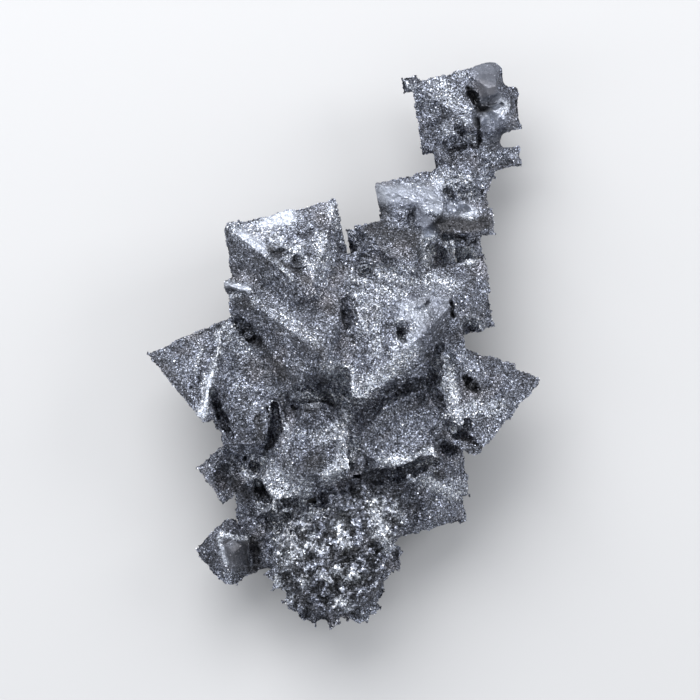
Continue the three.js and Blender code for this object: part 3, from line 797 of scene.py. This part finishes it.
def noted_share(tree, name):
    """A share that the stone's mesh holds for each of its points."""
    node = tree.nodes.new("GeometryNodeInputNamedAttribute")
    node.data_type = "FLOAT"
    node.inputs["Name"].default_value = name
    return node.outputs["Attribute"]


def upward_share(tree, vector, limits):
    """A share that grows to 1 as the vector's Z goes from low to high."""
    parts = tree.nodes.new("ShaderNodeSeparateXYZ")
    tree.links.new(vector, parts.inputs["Vector"])
    ranged = tree.nodes.new("ShaderNodeMapRange")
    tree.links.new(parts.outputs["Z"], ranged.inputs["Value"])
    steps = (limits["low"], limits["high"], limits["least"], 1.0)
    for socket, value in zip(list(ranged.inputs)[1:5], steps):
        socket.default_value = value
    return ranged.outputs["Result"]


def crust_density(tree, given):
    """Grains per square metre. The root's crust grows on coarse parts only, the others all over
    the stone."""
    coarse = noted_share(tree, "coarse")
    doubled = combined(tree, "SUBTRACT", product(tree, coarse, 2.0), 1.0)
    coarsest = combined(tree, "MAXIMUM", doubled, 0.0)
    on_root = product(tree, coarsest, given["Coarse ground"])
    elsewhere = combined(tree, "SUBTRACT", 1.0, given["Coarse ground"])
    off_root = product(tree, less(tree, coarse, THINNED_ON_COARSE), elsewhere)
    kept = combined(tree, "ADD", on_root, off_root)
    rough = less(tree, noted_share(tree, "smooth"), THINNED_ON_SMOOTH)
    clean = less(tree, noted_share(tree, "dark"), THINNED_ON_DARK)
    normal = tree.nodes.new("GeometryNodeInputNormal").outputs["Normal"]
    position = tree.nodes.new("GeometryNodeInputPosition").outputs["Position"]
    looks_up = upward_share(tree, normal, TURNED_DOWN)
    off_ground = upward_share(tree, position, NEAR_GROUND)
    cover = product(tree, product(tree, kept, rough), product(tree, looks_up, off_ground, clean))
    return product(tree, cover, given["Grains per square metre"])


def random_value(tree, data_type, seed):
    """A random value for each grain."""
    node = tree.nodes.new("FunctionNodeRandomValue")
    node.data_type = data_type
    tree.links.new(seed, node.inputs["Seed"])
    return node


def grain_rotation(tree, given, outwards):
    """Each grain's attitude: a face outwards, then tilted and spun at random."""
    attitude = random_value(tree, "FLOAT_VECTOR", given["Seed"])
    for socket, sign in ((attitude.inputs[0], -1), (attitude.inputs[1], 1)):
        limits = tree.nodes.new("ShaderNodeCombineXYZ")
        tilt = product(tree, given["Tilt"], sign)
        tree.links.new(tilt, limits.inputs["X"])
        tree.links.new(tilt, limits.inputs["Y"])
        limits.inputs["Z"].default_value = sign * math.pi
        tree.links.new(limits.outputs["Vector"], socket)
    local = tree.nodes.new("FunctionNodeEulerToRotation")
    tree.links.new(attitude.outputs[0], local.inputs["Euler"])
    rotate = tree.nodes.new("FunctionNodeRotateRotation")
    rotate.rotation_space = "LOCAL"
    tree.links.new(outwards, rotate.inputs["Rotation"])
    tree.links.new(local.outputs["Rotation"], rotate.inputs["Rotate By"])
    return rotate.outputs["Rotation"]


def grain_scale(tree, given):
    """Each grain's size, from the smallest to the largest."""
    size = random_value(tree, "FLOAT", given["Seed"])
    bias = combined(tree, "POWER", size.outputs[1], SMALL_BIAS)
    span = combined(tree, "SUBTRACT", given["Largest"], given["Smallest"])
    return combined(tree, "ADD", given["Smallest"], product(tree, bias, span))


def toned_grains(tree, given, grains):
    """The grains with a random tone noted on each."""
    tone = random_value(tree, "FLOAT", combined(tree, "ADD", given["Seed"], 1.0))
    noted = tree.nodes.new("GeometryNodeStoreNamedAttribute")
    noted.data_type = "FLOAT"
    noted.domain = "INSTANCE"
    noted.inputs["Name"].default_value = "tone"
    tree.links.new(grains, noted.inputs["Geometry"])
    tree.links.new(tone.outputs[1], noted.inputs["Value"])
    return noted.outputs["Geometry"]


def crust_sockets(tree):
    """The tree's named inputs and its output."""
    sockets = tree.interface
    sockets.new_socket("Stone", in_out="INPUT", socket_type="NodeSocketGeometry")
    for name in ("Grains per square metre", "Smallest", "Largest", "Tilt", "Coarse ground"):
        sockets.new_socket(name, in_out="INPUT", socket_type="NodeSocketFloat")
    sockets.new_socket("Seed", in_out="INPUT", socket_type="NodeSocketInt")
    sockets.new_socket("Crust", in_out="OUTPUT", socket_type="NodeSocketGeometry")


def crust_tree(grain, material):
    """Scatters copies of the grain over a mesh, and leaves only the copies, as one mesh."""
    tree = bpy.data.node_groups.new("crust of grains", "GeometryNodeTree")
    crust_sockets(tree)
    given = tree.nodes.new("NodeGroupInput").outputs

    scatter = tree.nodes.new("GeometryNodeDistributePointsOnFaces")
    tree.links.new(given["Stone"], scatter.inputs["Mesh"])
    tree.links.new(crust_density(tree, given), scatter.inputs["Density"])
    tree.links.new(given["Seed"], scatter.inputs["Seed"])

    source = tree.nodes.new("GeometryNodeObjectInfo")
    source.inputs["Object"].default_value = grain
    place = tree.nodes.new("GeometryNodeInstanceOnPoints")
    rotation = grain_rotation(tree, given, scatter.outputs["Rotation"])
    tree.links.new(scatter.outputs["Points"], place.inputs["Points"])
    tree.links.new(source.outputs["Geometry"], place.inputs["Instance"])
    tree.links.new(rotation, place.inputs["Rotation"])
    tree.links.new(grain_scale(tree, given), place.inputs["Scale"])

    real = tree.nodes.new("GeometryNodeRealizeInstances")
    finish = tree.nodes.new("GeometryNodeSetMaterial")
    finish.inputs["Material"].default_value = material
    toned = toned_grains(tree, given, place.outputs["Instances"])
    tree.links.new(toned, real.inputs["Geometry"])
    tree.links.new(real.outputs["Geometry"], finish.inputs["Geometry"])
    tree.links.new(finish.outputs["Geometry"], tree.nodes.new("NodeGroupOutput").inputs["Crust"])
    return tree


def grow_crust(stone, tree, crust):
    """One crust as a plain mesh of its own."""
    piece = bpy.data.objects.new(crust["name"], stone.data)
    bpy.context.scene.collection.objects.link(piece)
    scatter = piece.modifiers.new("crust", "NODES")
    scatter.node_group = tree
    sockets = tree.interface.items_tree
    inputs = {item.name: item.identifier for item in sockets if item.in_out == "INPUT"}
    scatter[inputs["Grains per square metre"]] = crust["per_mm2"] / MM**2
    scatter[inputs["Smallest"]] = crust["smallest"] * MM
    scatter[inputs["Largest"]] = crust["largest"] * MM
    scatter[inputs["Tilt"]] = math.radians(crust["tilt"])
    scatter[inputs["Coarse ground"]] = crust["coarse"]
    scatter[inputs["Seed"]] = crust["seed"]
    piece.data = evaluated_mesh(piece)
    piece.modifiers.remove(scatter)
    return piece


grain = grain_object()
bright_hematite = hematite_material("bright hematite", BRIGHT_HEMATITE, grain_tone="tone")
crust_nodes = crust_tree(grain, bright_hematite)
for crust in CRUSTS:
    piece = grow_crust(stone, crust_nodes, crust)
    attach(piece, "root")
bpy.data.objects.remove(grain)


# The floor: a large matt sheet that the specimen lies on, plain and without a visible edge. Its
# light grey shows as nearly white under these lights.
FLOOR_HALF = 1.2
FLOOR_CORNERS = [(-1, -1), (1, -1), (1, 1), (-1, 1)]
FLOOR_COLOUR = (0.465, 0.465, 0.472, 1)
FLOOR_ROUGHNESS = 0.9
floor_mesh = bpy.data.meshes.new("floor")
floor_mesh.from_pydata([(FLOOR_HALF * x, FLOOR_HALF * y, 0) for x, y in FLOOR_CORNERS], [],
                       [(0, 1, 2, 3)])
floor = bpy.data.objects.new("floor", floor_mesh)
bpy.context.scene.collection.objects.link(floor)
floor_finish = bpy.data.materials.new("matt grey sheet")
floor_finish.use_nodes = True
floor_shader = floor_finish.node_tree.nodes["Principled BSDF"]
floor_shader.inputs["Base Color"].default_value = FLOOR_COLOUR
floor_shader.inputs["Roughness"].default_value = FLOOR_ROUGHNESS
floor_mesh.materials.append(floor_finish)


# The lights: a large soft panel beyond the photo's upper edge, a smaller one at the right, a
# faint one at the left, and even, slightly cool light from the whole room.
LIGHTS = [
    {"name": "top_panel", "at": (-0.13, 0.36, 0.38), "size": (0.5, 0.42), "watts": 4.1},
    {"name": "right_panel", "at": (0.42, 0.16, 0.30), "size": (0.2, 0.2), "watts": 0.95},
    {"name": "left_panel", "at": (-0.45, -0.12, 0.34), "size": (0.2, 0.4), "watts": 0.48},
]
LIGHT_TARGET = Vector((0, 0, 0.01))
ROOM_COLOUR = (0.93, 0.96, 1.0, 1)
ROOM_STRENGTH = 0.84
for light in LIGHTS:
    lamp = bpy.data.lights.new(light["name"], "AREA")
    lamp.shape = "RECTANGLE"
    lamp.size, lamp.size_y = light["size"]
    lamp.energy = light["watts"]
    lamp_object = bpy.data.objects.new(light["name"], lamp)
    lamp_object.location = light["at"]
    aim = LIGHT_TARGET - Vector(light["at"])
    lamp_object.rotation_euler = aim.to_track_quat("-Z", "Y").to_euler()
    bpy.context.scene.collection.objects.link(lamp_object)

room = bpy.data.worlds.new("room")
room.use_nodes = True
room_light = room.node_tree.nodes["Background"]
room_light.inputs["Color"].default_value = ROOM_COLOUR
room_light.inputs["Strength"].default_value = ROOM_STRENGTH
bpy.context.scene.world = room
bpy.context.scene.view_settings.view_transform = "Standard"


# The camera looks straight down on the specimen, square to the surface that it lies on, from
# far enough that its heights hardly change its outline.
FRAME_WIDTH = 103 * MM
FRAME_MIDDLE = (1.3 * MM, -0.5 * MM)
OUTLINE_HEIGHT = 11 * MM
CAMERA_DISTANCE = 0.6
SENSOR_WIDTH = 36
NEAREST_SEEN = 0.05
FARTHEST_SEEN = 20
camera_data = bpy.data.cameras.new("camera")
camera_data.sensor_width = SENSOR_WIDTH
camera_data.lens = SENSOR_WIDTH * CAMERA_DISTANCE / FRAME_WIDTH
camera_data.clip_start = NEAREST_SEEN
camera_data.clip_end = FARTHEST_SEEN
camera = bpy.data.objects.new("camera", camera_data)
camera.location = (*FRAME_MIDDLE, OUTLINE_HEIGHT + CAMERA_DISTANCE)
bpy.context.scene.collection.objects.link(camera)
bpy.context.scene.camera = camera
